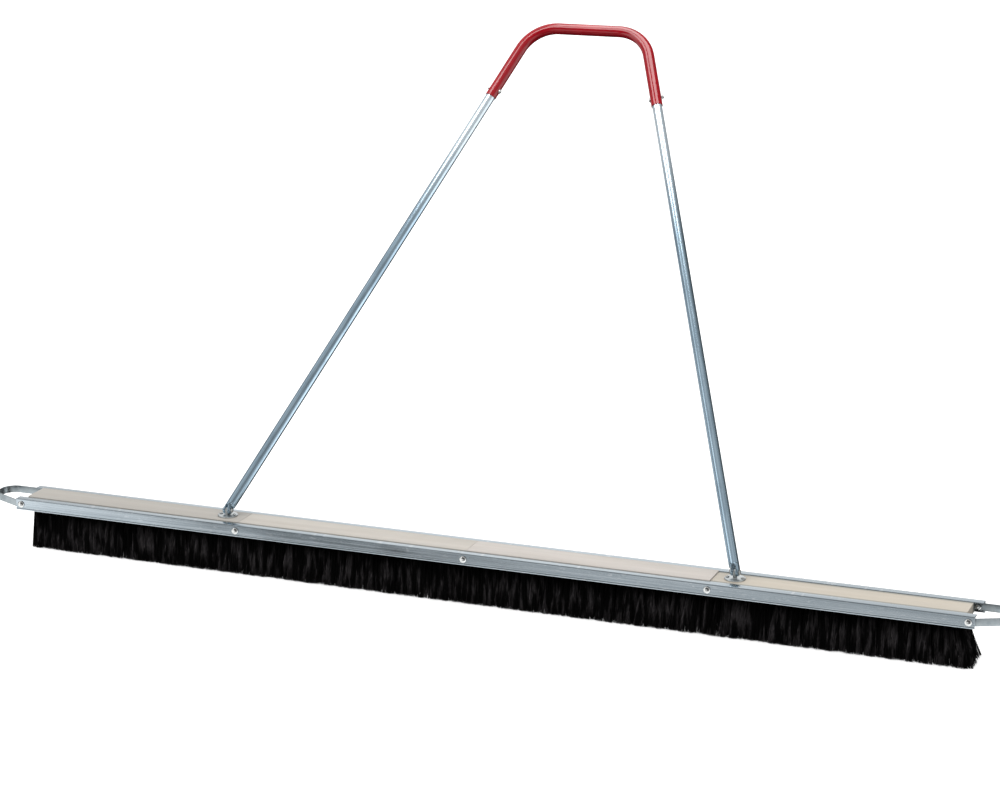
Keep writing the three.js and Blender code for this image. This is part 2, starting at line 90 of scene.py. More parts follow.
# Rails
RAIL_THICK = 3.2 * MM
RAIL_CORNER = 2 * MM
RAIL_FILLET = 1.2 * MM
FLANGE_WIDTH = 19.05 * MM
BEAD_HEIGHT = 4 * MM
BEAD_PROUD = 0.8 * MM
RAIL_EASE = 0.5 * MM  # at the foot of the web, inside
RAIL_END_EASE = 0.25 * MM

# Bolts, nuts and washers of the head
BOLT_RADIUS = 3.175 * MM
BOLT_HEAD_RADIUS = 7.6 * MM
BOLT_HEAD_HEIGHT = 4.2 * MM
HEAD_RIM = 0.8 * MM  # the straight edge of a domed head
THREAD_PITCH = 1.27 * MM
THREAD_RINGS = 6  # in one turn
LONG_THREAD = 22 * MM
SHORT_THREAD = 10 * MM
NUT_FLATS = 11.1 * MM
NUT_HEIGHT = 5.6 * MM
NUT_EASE = 0.4 * MM
CHAMFER_START = 0.47  # of a hexagon's flats, from its axis
WASHER_RADIUS = 8 * MM
WASHER_THICK = 1.6 * MM

# Tow loops
STRAP_WIDTH = 15.9 * MM
STRAP_THICK = 3 * MM
STRAP_EDGE = 0.7 * MM
LOOP_END_X = 1145.5 * MM  # centre line of the loop's outer end
LOOP_SLANT = math.radians(25)  # of the front leg past the rail; the rear one is straight
LOOP_BEND_RADIUS = 14 * MM
LOOP_REAR_RADIUS = 30 * MM

# Handle
LEAN = math.radians(35.9)
PIVOT_X = 570 * MM
CORNER_X = 130.6 * MM  # where a leg's centre line meets the grip bar's
SLANT = 1208.2 * MM  # from the pivot line up to the grip bar, along the frame
SPLAY = math.atan2(PIVOT_X - CORNER_X, SLANT)
LEG_LENGTH = math.hypot(PIVOT_X - CORNER_X, SLANT)
TUBE_RADIUS = 11 * MM
TUBE_WALL = 1.5 * MM
GRIP_RADIUS = 12.7 * MM
GRIP_BORE_RADIUS = 11.3 * MM
GRIP_LEG = 190 * MM  # from a corner down to the grip's end
GRIP_BEND_RADIUS = 85 * MM
TUBE_IN_GRIP = 45 * MM
GRIP_BOLT_UP = 19 * MM  # from the grip's end to its cross bolt
GRIP_BOLT_RADIUS = 2.4 * MM
GRIP_BOLT_HEAD = 5 * MM, 3.4 * MM  # radius and height
GRIP_BOLT_PITCH = 0.8 * MM
GRIP_BOLT_THREAD = 9 * MM
GRIP_BOLT_REACH = 2 * MM  # past its nut
GRIP_NUT_FLATS = 8 * MM
GRIP_NUT_HEIGHT = 4 * MM

# Pivot feet
BASE_RADIUS = 22 * MM
BASE_THICK = 3 * MM
BASE_RIM = 0.6 * MM
LUG_THICK = 5 * MM
LUG_RADIUS = 7 * MM
PIVOT_BOLT_RADIUS = 3 * MM
PIVOT_BOLT_FLATS = 10 * MM
PIVOT_HEAD_HEIGHT = 2.6 * MM
PIVOT_NUT_HEIGHT = 3.2 * MM
PIVOT_BOLT_PITCH = 1 * MM
PIVOT_BOLT_THREAD = 7 * MM
PIVOT_BOLT_REACH = 1 * MM  # past its nut
FORK_RADIUS = TUBE_RADIUS
FORK_LENGTH = 16 * MM  # from the pivot to the end of the tube
FORK_END_RADIUS = 8.2 * MM
FORK_PLUG_LENGTH = 24 * MM
FORK_SLOT_DEPTH = 10 * MM
FORK_FLAT = 8 * MM
FORK_FLAT_TOP = 7 * MM
FORK_EASE = 0.6 * MM
BASE_SCREW_X = 16 * MM
BASE_SCREW_RADIUS = 2.1 * MM
BASE_SCREW_LENGTH = 20 * MM
BASE_SCREW_HEAD = 4 * MM, 2.2 * MM  # radius and height
BASE_SCREW_PITCH = 1.6 * MM
BASE_SCREW_THREAD = 16 * MM

# Bristles
TUFT_COLUMNS = 48  # along one section
TUFT_ROWS = 7
ROW_HALF = 28.5 * MM  # from the middle to the outer rows' holes
END_MARGIN = 5 * MM  # from a section's ends to its evenly spaced columns
HOLE_RADIUS = 3.1 * MM
HOLE_JITTER = 1.2 * MM
END_STAGGER = 0.55  # of a pitch, from the end holes to the next ones in every second row
FILAMENTS = (70, 50, 29, 29, 29, 29, 58)  # in one tuft of each row, from the front
FILAMENT_RADIUS = 0.42 * MM
TIP_SPREAD = (9.5 * MM, 6.5 * MM)  # half the width of a tuft at its tips, along and across the head
ROW_FLARE = 1.4  # how much wider apart the rows stand at their tips
ROOTS_LEFT = -1034 * MM
ROOTS_RIGHT = 1036 * MM
SPLAY_RIGHT = 25 * MM  # how far the last tufts at the right end lean out
SPLAY_LEFT = 6 * MM
SPLAY_REACH = 95 * MM  # the length of head over which they come to that
SWAYS = (  # how far neighbouring tufts lean together: (reach, waves, waves across, phase)
    (3.6 * MM, 7.0, 0, 1.3), (2.4 * MM, 23.0, 8, 0), (2.0 * MM, 61.0, 0, 0)
)
LEAN_LEFT = 2.5 * MM  # of the tufts, fading out at both ends
TUFT_SCATTER = (2.2 * MM, 1.2 * MM)  # of a tuft's tips, along and across the head
TIP_SCATTER = 0.9 * MM  # of each filament's own tip
WAVINESS = 0.5 * MM
PAST_LEFT = 2 * MM  # how far the tips may pass the CAD's bristles at each end
PAST_RIGHT = 3 * MM
TIP_UNEVEN = 0.35 * MM  # the tips' mean height off the floor
TIP_HIGHEST = 5 * MM
ROOT_SUNK = 1 * MM  # how far the roots go up in the wood
FILAMENT_CURVE = 1.15
FILAMENT_RINGS = ((0.0, 0.9), (0.5, 0.95), (1.0, 1.0))  # (share of the length, of the radius)
FILAMENT_SIDES = 3
BRISTLE_SEED = 7

PIVOT = Vector(frame["joints"][0]["pos_m"])
HANDLE = Matrix.Translation(PIVOT) @ Matrix.Rotation(-LEAN, 4, "X")
X, Y, Z = Vector((1, 0, 0)), Vector((0, 1, 0)), Vector((0, 0, 1))
PIECES = {"head": [], "handle": []}  # finish_piece fills these


def centre_of(node):
    low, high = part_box(node)
    return (low + high) / 2


def facing_y(side):
    """Turns +Z to +Y or -Y."""
    return Matrix.Rotation(-side * math.pi / 2, 4, "X")


def facing_x(side):
    """Turns +Z to +X or -X."""
    return Matrix.Rotation(side * math.pi / 2, 4, "Y")


def leg_frame(side):
    """A leg's own axes: +Z up the tube from the pivot."""
    return HANDLE @ Matrix.Translation((side * PIVOT_X, 0, 0)) @ Matrix.Rotation(-side * SPLAY, 4, "Y")


# ---- Meshes ----


def add_to_scene(obj):
    bpy.context.scene.collection.objects.link(obj)


def piece(name, shape, material, sharp=35):
    """A smooth-shaded object at the origin, from (vertices, faces)."""
    vertices, faces = shape
    mesh = bpy.data.meshes.new(name)
    mesh.from_pydata([tuple(v) for v in vertices], [], faces)
    mesh.validate()
    obj = bpy.data.objects.new(name, mesh)
    mesh.materials.append(material)
    add_to_scene(obj)
    faces_out(obj)
    shade(obj, sharp)
    return obj


def faces_out(obj):
    mesh = bmesh.new()
    mesh.from_mesh(obj.data)
    bmesh.ops.recalc_face_normals(mesh, faces=mesh.faces)
    mesh.to_mesh(obj.data)
    mesh.free()


def shade(obj, sharp):
    """Smooth shading, with a crease where two faces meet at more than so many degrees."""
    obj.data.shade_smooth()
    obj.data.set_sharp_from_angle(angle=math.radians(sharp))


def put(target, settings):
    for key, value in settings.items():
        setattr(target, key, value)


def modify(obj, kind, **settings):
    put(obj.modifiers.new(kind.lower(), kind), settings)


def settle(obj):
    """Applies an object's modifiers."""
    graph = bpy.context.evaluated_depsgraph_get()
    mesh = bpy.data.meshes.new_from_object(obj.evaluated_get(graph))
    obj.modifiers.clear()
    obj.data = mesh


def carve(obj, cutters, operation="DIFFERENCE"):
    """Cuts an object with others, joins it to them or keeps what they share, and uses them up."""
    for cutter in cutters:
        modify(obj, "BOOLEAN", operation=operation, solver="EXACT", object=cutter)
    settle(obj)
    for cutter in cutters:
        bpy.data.objects.remove(cutter)


def soften(obj, voxel, rounds):
    """Rounds an object's edges as a casting's are."""
    modify(obj, "REMESH", mode="VOXEL", voxel_size=voxel)
    modify(obj, "SMOOTH", iterations=rounds)
    settle(obj)
    shade(obj, 60)


def arc(centre, radius, start, end, steps):
    """Points on an arc, from one angle to another, in degrees."""
    angles = [math.radians(start + (end - start) * i / steps) for i in range(steps + 1)]
    return [(centre[0] + radius * math.cos(a), centre[1] + radius * math.sin(a)) for a in angles]


def grid_faces(rows, columns, closed):
    """Quads between the rings of a grid. A closed grid's last ring joins its first."""
    faces = []
    for row in range(rows if closed else rows - 1):
        here = row * columns
        below = (row + 1) % rows * columns
        for i in range(columns):
            j = (i + 1) % columns
            faces.append((here + i, here + j, below + j, below + i))
    return faces


def at_angle(value, angle):
    return value(angle) if callable(value) else value


def lathe(profile, sides):
    """A profile of (radius, z) turned about +Z, where either may be a function of the angle.

    It starts and ends on the axis, or it closes on itself.
    """
    closed = profile[0][0] != 0
    rings = profile if closed else profile[1:-1]
    angles = [2 * math.pi * i / sides for i in range(sides)]
    vertices = []
    for radius, z in rings:
        for a in angles:
            r = at_angle(radius, a)
            vertices.append((r * math.cos(a), r * math.sin(a), at_angle(z, a)))
    faces = grid_faces(len(rings), sides, closed)
    if not closed:
        last = (len(rings) - 1) * sides
        for first, z in ((0, profile[0][1]), (last, profile[-1][1])):
            middle = len(vertices)
            vertices.append((0, 0, z))
            faces += [(first + i, first + (i + 1) % sides, middle) for i in range(sides)]
    return vertices, faces


def sweep(outline, stations):
    """A closed outline of (across, up) carried along stations of (point, across, up)."""
    vertices = []
    for point, across, up in stations:
        vertices += [point + a * across + b * up for a, b in outline]
    size = len(outline)
    faces = grid_faces(len(stations), size, False)
    faces.append(tuple(range(size)))
    faces.append(tuple(range(len(vertices) - size, len(vertices))))
    return vertices, faces


def along_x(outline, start, end):
    return sweep(outline, [(X * start, Y, Z), (X * end, Y, Z)])


def along_y(outline, start, end):
    return sweep(outline, [(Y * start, X, Z), (Y * end, X, Z)])


def box_shape(low, high):
    outline = [(low[1], low[2]), (high[1], low[2]), (high[1], high[2]), (low[1], high[2])]
    return along_x(outline, low[0], high[0])


def rod_x(radius, half_length):
    sides = 48
    return along_x(arc((0, 0), radius, 0, 360 - 360 / sides, sides - 1), -half_length, half_length)


def rounded_path(corners, radii, step=4):
    """Stations of (point, heading) along a polyline with rounded corners, in a plane."""
    corners = [Vector(c) for c in corners]
    path = [(corners[0], (corners[1] - corners[0]).normalized())]
    for before, here, after, radius in zip(corners, corners[1:], corners[2:], radii):
        heading = (here - before).normalized()
        turn = heading.angle_signed((after - here).normalized())
        reach = radius * math.tan(abs(turn) / 2)
        point = here - heading * reach
        steps = max(2, math.ceil(abs(math.degrees(turn)) / step))
        chord = 2 * radius * math.sin(abs(turn) / steps / 2)
        path.append((point, heading))
        for _ in range(steps):
            point = point + turned(heading, turn / steps / 2) * chord
            heading = turned(heading, turn / steps)
            path.append((point, heading))
    path.append((corners[-1], (corners[-1] - corners[-2]).normalized()))
    return path


def turned(heading, angle):
    """A heading turned clockwise."""
    c, s = math.cos(angle), math.sin(angle)
    return Vector((c * heading.x + s * heading.y, c * heading.y - s * heading.x))


def tube_along(stations, outer, inner, sides):
    """An open tube with eased lips, through stations of (point, across, up, heading)."""
    ease = (outer - inner) / 4
    first, last = stations[0], stations[-1]
    rows = [(first, inner + ease, 0), (first, outer - ease, 0), (first, outer, ease)]
    rows += [(station, outer, 0) for station in stations[1:-1]]
    rows += [(last, outer, -ease), (last, outer - ease, 0)]
    rows += [(last, inner + ease, 0), (last, inner, -ease)]
    rows += [(station, inner, 0) for station in stations[-2:0:-1]]
    rows += [(first, inner, ease)]
    vertices = []
    for (point, across, up, heading), radius, ahead in rows:
        for i in range(sides):
            a = 2 * math.pi * i / sides
            offset = across * math.cos(a) + up * math.sin(a)
            vertices.append(point + heading * ahead + offset * radius)
    return vertices, grid_faces(len(rows), sides, True)


# ---- Fasteners, on +Z with their seat at z = 0 ----


def thread(radius, pitch, low, high):
    """Rings of a helical thread, between two heights."""
    depth = 0.55 * pitch
    rows = max(2, round((high - low) / pitch * THREAD_RINGS))

    def ring(z):
        def at(angle):
            phase = (z / pitch - angle / (2 * math.pi)) % 1
            return radius - depth * abs(2 * phase - 1)
        return at, z

    return [ring(low + (high - low) * i / rows) for i in range(rows + 1)]


def threaded_shank(radius, length, pitch, threaded):
    """The profile of a shank from its chamfered end up to its seat."""
    tip = radius - 0.6 * pitch
    profile = [(0, -length), (tip, -length)]
    profile += thread(radius, pitch, -length + 0.4 * pitch, -length + threaded)
    profile.append((radius, -length + threaded + 0.5 * pitch))
    return profile


def dome(radius, height, edge):
    """The profile of a domed head, from its rim to its crown."""
    steps = 10
    ease = 0.25 * edge
    profile = [(radius - ease, 0), (radius, ease)]
    for i in range(steps):
        a = math.pi / 2 * i / steps
        profile.append((radius * math.cos(a), edge + (height - edge) * math.sin(a)))
    return profile + [(0, height)]


def domed_bolt(radius, length, head_radius, head_height, pitch, threaded):
    shank = threaded_shank(radius, length, pitch, threaded)
    return lathe(shank + [(radius, 0)] + dome(head_radius, head_height, HEAD_RIM), 48)


def hex_radius(flats):
    def at(angle):
        return flats / 2 / math.cos(angle % (math.pi / 3) - math.pi / 6)
    return at


def hex_rim(flats, height, rising):
    """The wavy edge that a 30 degree chamfer leaves on a hexagon."""
    radius = hex_radius(flats)
    touch = CHAMFER_START * flats
    slope = math.tan(math.radians(30))

    def at(angle):
        drop = slope * max(0, radius(angle) - touch)
        return drop if rising else height - drop
    return at


def hex_side(flats, height):
    """The profile of a hexagon's outside, with both ends chamfered."""
    side = hex_radius(flats)
    touch = CHAMFER_START * flats
    return [(touch, 0), (side, hex_rim(flats, height, True)),
            (side, hex_rim(flats, height, False)), (touch, height)]


def hex_nut(flats, height, bore):
    profile = [(bore + NUT_EASE, 0)] + hex_side(flats, height) + [(bore + NUT_EASE, height)]
    profile += [(bore, height - NUT_EASE), (bore, NUT_EASE)]
    return lathe(profile, 72)


def hex_bolt(radius, length, flats, height, pitch, threaded):
    shank = threaded_shank(radius, length, pitch, threaded)
    return lathe(shank + [(radius, 0)] + hex_side(flats, height) + [(0, height)], 72)


def washer(outer, inner, height):
    ease = 0.2 * MM
    profile = [(inner, 0), (outer - ease, 0), (outer, ease), (outer, height - ease)]
    profile += [(outer - ease, height), (inner, height)]
    return lathe(profile, 64)


# ---- Materials ----


class Nodes:
    """A node tree and a few ways to add to it."""

    def __init__(self, tree):
        self.nodes = tree.nodes
        self.links = tree.links

    def add(self, kind, inputs, output, **settings):
        node = self.nodes.new(kind)
        put(node, settings)
        for key, value in inputs.items():
            if isinstance(value, bpy.types.NodeSocket):
                self.links.new(value, node.inputs[key])
            else:
                node.inputs[key].default_value = value
        return node.outputs[output]

    def ramp(self, value, stops):
        """Colours or greys at places along 0 to 1."""
        node = self.nodes.new("ShaderNodeValToRGB")
        self.links.new(value, node.inputs["Fac"])
        while len(node.color_ramp.elements) < len(stops):
            node.color_ramp.elements.new(0.5)
        for element, (place, colour) in zip(node.color_ramp.elements, stops):
            element.position = place
            element.color = colour if isinstance(colour, tuple) else (colour,) * 3 + (1,)
        return node.outputs["Color"]

    def span(self, value, low, high, start=0.3, end=0.7):
        """A number carried from one span to another."""
        inputs = {"Value": value, "From Min": start, "From Max": end, "To Min": low, "To Max": high}
        return self.add("ShaderNodeMapRange", inputs, "Result")

    def math(self, operation, a, b):
        return self.add("ShaderNodeMath", {0: a, 1: b}, "Value", operation=operation)

    def mix(self, factor, a, b):
        """Two colours mixed, by the colour sockets of a node that has others for numbers."""
        return self.add("ShaderNodeMix", {0: factor, 6: a, 7: b}, 2, data_type="RGBA")


class Finish(Nodes):
    """A Principled material and a few ways to drive it."""

    def __init__(self, name, **constants):
        self.material = bpy.data.materials.new(name)
        self.material.use_nodes = True
        super().__init__(self.material.node_tree)
        self.shader = self.nodes["Principled BSDF"]
        for socket, value in constants.items():
            self.shader.inputs[socket.replace("_", " ")].default_value = value

    def place(self, scale, offset=(0, 0, 0)):
        """The piece's own coordinates, moved and scaled on each axis."""
        own = self.add("ShaderNodeTexCoord", {}, "Object")
        inputs = {"Vector": own, "Scale": scale, "Location": offset}
        return self.add("ShaderNodeMapping", inputs, "Vector")

    def along(self, axis):
        """The piece's own coordinate on one axis, in metres."""
        return self.add("ShaderNodeSeparateXYZ", {"Vector": self.place((1, 1, 1))}, axis)

    def noise(self, scale, offset=(0, 0, 0), detail=3.0):
        """Noise with so many waves in a metre on each axis."""
        inputs = {"Vector": self.place(scale, offset), "Scale": 1.0, "Detail": detail}
        return self.add("ShaderNodeTexNoise", inputs, "Fac")

    def bump(self, height, depth):
        """A relief of that depth in metres."""
        inputs = {"Height": height, "Distance": depth, "Strength": 1.0}
        return self.add("ShaderNodeBump", inputs, "Normal")

    def drive(self, **sockets):
        for socket, value in sockets.items():
            self.links.new(value, self.shader.inputs[socket.replace("_", " ")])
        return self.material


def rgb(red, green, blue):
    """A display colour from 0 to 255 as the linear one that a shader takes."""
    def linear(value):
        share = value / 255
        return share / 12.92 if share <= 0.04045 else ((share + 0.055) / 1.055) ** 2.4
    return linear(red), linear(green), linear(blue), 1


def rail_finish():
    """Mill-finish aluminium: die lines along the rail, long duller stretches and a few scuffs."""
    finish = Finish("rail_aluminium", Metallic=1.0)
    lines = finish.noise((2, 900, 900), detail=4)
    broad = finish.noise((2.2, 60, 60), detail=3)
    patches = finish.noise((9, 40, 40), offset=(3, 1, 0), detail=4)
    scratches = finish.noise((60, 14, 260), offset=(7, 2, 5), detail=2)
    scuffs = finish.ramp(scratches, [(0.64, 0.0), (0.68, 1.0)])
    tone = finish.ramp(lines, [(0.25, rgb(150, 160, 167)), (0.75, rgb(182, 192, 198))])
    tone = finish.mix(finish.span(broad, 0.0, 0.6, 0.4, 0.7), tone, rgb(138, 149, 156))
    tone = finish.mix(finish.math("MULTIPLY", scuffs, 0.3), tone, rgb(204, 208, 212))
    rough = finish.math("ADD", finish.span(patches, 0.14, 0.22), finish.span(lines, -0.02, 0.04))
    return finish.drive(Base_Color=tone, Roughness=rough, Normal=finish.bump(lines, 0.007 * MM))


def tube_finish(name):
    """Drawn aluminium with lines and handling marks; a painted highlight makes the top whitish and less
    metallic, and below it the tube is darker and rougher.
    """
    finish = Finish(name)
    # 0 over the top of the tube, where a painted highlight (whitish tone, lower metallic) stands in for
    # a bright reflection; 1 below it.
    below_painted_highlight = finish.span(finish.along("Z"), 1.0, 0.0, 0.76, 0.98)
    lines = finish.noise((500, 500, 2), detail=3)
    streaks = finish.noise((150, 150, 1.2), offset=(1, 3, 2), detail=2)
    marks = finish.noise((60, 60, 12), offset=(2, 5, 1), detail=5)
    tone = finish.ramp(lines, [(0.3, rgb(176, 202, 220)), (0.7, rgb(208, 228, 240))])
    tone = finish.mix(finish.span(streaks, 0.0, 0.6, 0.5, 0.7), tone, rgb(136, 160, 180))
    tone = finish.mix(finish.span(marks, 0.0, 0.6, 0.48, 0.68), tone, rgb(132, 152, 166))
    # Painted highlight: the top of the tube whitish.
    tone = finish.mix(finish.span(below_painted_highlight, 0.5, 0.0, 0, 1), tone, rgb(232, 238, 241))
    tone = finish.mix(finish.math("MULTIPLY", below_painted_highlight, 0.3), tone, rgb(112, 138, 158))
    rough = finish.math("ADD", finish.span(marks, 0.1, 0.2), finish.math("MULTIPLY", below_painted_highlight, 0.05))
    metal = finish.span(below_painted_highlight, 0.6, 1.0, 0, 1)
    relief = finish.bump(lines, 0.012 * MM)
    return finish.drive(Base_Color=tone, Metallic=metal, Roughness=rough, Normal=relief)


def strap_finish():
    """Galvanised flat bar: a cloudy grey spangle over rolled steel."""
    finish = Finish("strap_steel", Metallic=1.0)
    cell_inputs = {"Vector": finish.place((160, 160, 160)), "Scale": 1.0}
    cells = finish.add("ShaderNodeTexVoronoi", cell_inputs, "Color")
    spangle = finish.add("ShaderNodeSeparateColor", {"Color": cells}, "Red")
    clouds = finish.noise((35, 35, 35), detail=5)
    tone = finish.ramp(clouds, [(0.3, rgb(122, 132, 137)), (0.7, rgb(168, 177, 181))])
    tone = finish.mix(finish.span(spangle, 0.0, 0.35, 0, 1), tone, rgb(176, 182, 184))
    rough = finish.math("ADD", finish.span(clouds, 0.3, 0.44), finish.span(spangle, -0.05, 0.05, 0, 1))
    return finish.drive(Base_Color=tone, Roughness=rough, Normal=finish.bump(clouds, 0.03 * MM))


def zinc_finish():
    """Bright zinc plate, a little cloudy."""
    finish = Finish("zinc_steel", Metallic=1.0)
    clouds = finish.noise((220, 220, 220), detail=4)
    grit = finish.noise((2600, 2600, 2600), detail=2)
    tone = finish.ramp(clouds, [(0.3, rgb(176, 178, 176)), (0.7, rgb(222, 224, 224))])
    rough = finish.span(clouds, 0.06, 0.14)
    return finish.drive(Base_Color=tone, Roughness=rough, Normal=finish.bump(grit, 0.006 * MM))


def cast_finish():
    """The pivot bases: die-cast and zinc plated, cloudy, with a fine skin."""
    finish = Finish("cast_zinc", Metallic=1.0)
    clouds = finish.noise((160, 160, 160), detail=5)
    skin = finish.noise((1400, 1400, 1400), detail=3)
    tone = finish.ramp(clouds, [(0.3, rgb(172, 178, 180)), (0.7, rgb(208, 213, 214))])
    rough = finish.span(clouds, 0.24, 0.42)
    return finish.drive(Base_Color=tone, Roughness=rough, Normal=finish.bump(skin, 0.02 * MM))


def wood_finish(index):
    """Pale bare hardwood, its grain along the head, with painted shade along its long edges; each is
    another board.
    """
    pale = (rgb(167, 165, 161), rgb(187, 183, 177), rgb(193, 188, 184), rgb(189, 182, 170))[index - 1]
    finish = Finish(f"brush_wood_{index}", Metallic=0.0)
    board = (index * 3.7, index * 1.3, index * 2.1)
    figure = finish.noise((1.6, 60, 60), board, detail=3)
    fibres = finish.noise((9, 900, 900), board, detail=4)
    pores = finish.ramp(finish.noise((70, 1500, 1500), board, detail=2), [(0.66, 0.0), (0.74, 1.0)])
    soil = finish.noise((6, 30, 30), board, detail=5)
    tone = finish.mix(finish.span(figure, 0.0, 0.5), pale, tuple(0.8 * c for c in pale[:3]) + (1,))
    tone = finish.mix(finish.span(fibres, 0.0, 0.3), tone, rgb(184, 168, 146))
    tone = finish.mix(finish.math("MULTIPLY", pores, 0.35), tone, rgb(142, 124, 102))
    tone = finish.mix(finish.span(soil, 0.0, 0.3, 0.5, 0.75), tone, rgb(164, 158, 149))
    # Painted shade along the long edges, where the flanges shade the wood: faint on the first three
    # boards, strong on the fourth.
    from_middle = finish.math("ABSOLUTE", finish.along("Y"), 0.0)
    edge_shade_depth = 0.1 if index < 4 else 0.85
    painted_edge_shade = finish.span(from_middle, 0.0, edge_shade_depth, 23 * MM, 31 * MM)
    tone = finish.mix(painted_edge_shade, tone, rgb(118, 122, 118))
    relief = finish.bump(fibres, 0.05 * MM)
    return finish.drive(Base_Color=tone, Roughness=finish.span(fibres, 0.55, 0.75), Normal=relief)


def bristle_finish():
    """Black filament: every strand and tuft its own dark grey, with painted shade that makes it nearly
    black towards the roots.
    """
    finish = Finish("bristle_black", Metallic=0.0, Specular_IOR_Level=0.04)
    strand = finish.noise((700, 700, 8), detail=2)
    tufts = finish.noise((100, 100, 7), offset=(1, 4, 2), detail=2)
    tone = finish.ramp(strand, [(0.35, rgb(25, 24, 25)), (0.7, rgb(94, 90, 92))])
    tone = finish.mix(finish.span(tufts, 0.0, 0.98, 0.37, 0.51), tone, rgb(2, 2, 2))
    # Painted shade: the upper part of the tufts, near the wood, nearly black.
    tone = finish.mix(finish.span(finish.along("Z"), 0.0, 0.92, 0.035, 0.08), tone, rgb(4, 4, 4))
    return finish.drive(Base_Color=tone, Roughness=finish.span(strand, 0.42, 0.62))


def grip_finish():
    """Gloss red enamel on the grip tube, with orange peel and rubbed patches."""
    finish = Finish("grip_red", Metallic=0.0, Specular_IOR_Level=0.0,
                    Coat_Weight=1.0, Coat_Roughness=0.07, Coat_IOR=1.5)
    peel = finish.noise((420, 420, 420), detail=2)
    clouds = finish.noise((30, 30, 30), detail=4)
    wear = finish.noise((160, 160, 160), offset=(4, 4, 1), detail=6)
    rubbed = finish.ramp(wear, [(0.62, 0.0), (0.7, 1.0)])
    tone = finish.ramp(clouds, [(0.3, rgb(152, 6, 22)), (0.7, rgb(168, 9, 28))])
    tone = finish.mix(finish.math("MULTIPLY", rubbed, 0.2), tone, rgb(126, 8, 22))
    rough = finish.math("ADD", finish.span(clouds, 0.2, 0.27), finish.math("MULTIPLY", rubbed, 0.06))
    return finish.drive(Base_Color=tone, Roughness=rough, Normal=finish.bump(peel, 0.02 * MM))


# ---- Head ----


def finish_piece(obj, body, slot, *nodes):
    """Puts a piece on its body, in place of its CAD nodes."""
    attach(obj, body)
    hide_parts(*nodes)
    PIECES[body].append(obj)


def rail_outline():
    """An angle's section: its web's outer face is at 0, and its flange grows to the right."""
    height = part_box("front_rail")[1].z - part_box("front_rail")[0].z
    toe = RAIL_THICK / 2
    bead_radius = ((BEAD_HEIGHT / 2) ** 2 + BEAD_PROUD**2) / (2 * BEAD_PROUD)
    bead_angle = math.degrees(math.asin(BEAD_HEIGHT / 2 / bead_radius))
    bead_centre = (bead_radius - BEAD_PROUD, BEAD_HEIGHT / 2)
    fillet = (RAIL_THICK + RAIL_FILLET, height - RAIL_THICK - RAIL_FILLET)
    outline = arc(bead_centre, bead_radius, 180 - bead_angle, 180 + bead_angle, 12)
    outline += arc((RAIL_THICK - RAIL_EASE, RAIL_EASE), RAIL_EASE, 270, 360, 4)
    outline += arc(fillet, RAIL_FILLET, 180, 90, 6)
    outline += arc((FLANGE_WIDTH - toe, height - toe), toe, -90, 90, 12)
    outline += arc((RAIL_CORNER, height - RAIL_CORNER), RAIL_CORNER, 90, 180, 8)
    return outline


def rails(material):
    for face, side in FACES.items():
        node = f"{face}_rail"
        low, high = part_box(node)
        web = (high.y if side > 0 else low.y) - side * BEAD_PROUD
        outline = [(web - side * across, low.z + up) for across, up in rail_outline()]
        trimmed = inset(outline, RAIL_END_EASE)
        stations = [(low.x, trimmed), (low.x + RAIL_END_EASE, outline),
                    (high.x - RAIL_END_EASE, outline), (high.x, trimmed)]
        vertices = [(x, y, z) for x, ring in stations for y, z in ring]
        size = len(outline)
        faces = grid_faces(len(stations), size, False)
        faces += [tuple(range(size)), tuple(range(3 * size, 4 * size))]
        rail = piece(f"rail_{face}", (vertices, faces), material, 25)
        finish_piece(rail, "head", "rail_aluminium", node)


def inset(outline, distance):
    """An outline drawn in along its normals, for an eased end."""
    size = len(outline)
    points = [Vector(p) for p in outline]
    area = sum(a.x * b.y - b.x * a.y for a, b in zip(points, points[1:] + points[:1]))
    hand = 1 if area > 0 else -1
    drawn = []
    for i in range(size):
        along = (points[(i + 1) % size] - points[i - 1]).normalized()
        drawn.append((points[i].x - hand * along.y * distance, points[i].y + hand * along.x * distance))
    return drawn


def brush_blocks():
    """The CAD's own wooden sections, with a grain and slightly eased edges."""
    for i in range(1, 5):
        block = frame["nodes"][f"brush_block_{i}"]
        block.data.materials.clear()
        block.data.materials.append(wood_finish(i))
        modify(block, "BEVEL", width=0.4 * MM, segments=2, limit_method="ANGLE",
               angle_limit=math.radians(30), harden_normals=True)


def tow_loops(material):
    """Flat bar on edge, bent into an eye: its rear leg runs straight and its front leg slants."""
    for name, side in SIDES.items():
        node = f"tow_loop_{name}"
        low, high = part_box(node)
        leg_y = high.y - STRAP_THICK / 2
        start = abs(low.x if side > 0 else high.x)
        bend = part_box("front_rail")[1].x
        rise = (LOOP_END_X - bend) * math.tan(LOOP_SLANT)
        corners = [(start, -leg_y), (bend, -leg_y), (LOOP_END_X, rise - leg_y),
                   (LOOP_END_X, leg_y), (start, leg_y)]
        path = rounded_path(corners, [LOOP_BEND_RADIUS, LOOP_BEND_RADIUS, LOOP_REAR_RADIUS])
        across, low_up, high_up = STRAP_THICK / 2 - STRAP_EDGE, STRAP_EDGE, STRAP_WIDTH - STRAP_EDGE
        outline = []
        for i, centre in enumerate(((across, high_up), (-across, high_up),
                                    (-across, low_up), (across, low_up))):
            outline += arc(centre, STRAP_EDGE, 90 * i, 90 * i + 90, 4)
        stations = []
        for point, heading in path:
            across = Vector((side * heading.y, -heading.x, 0))
            stations.append((Vector((side * point.x, point.y, low.z)), across, Z))
        loop = piece(f"tow_strap_{name}", sweep(outline, stations), material)
        finish_piece(loop, "head", "strap_steel", node)


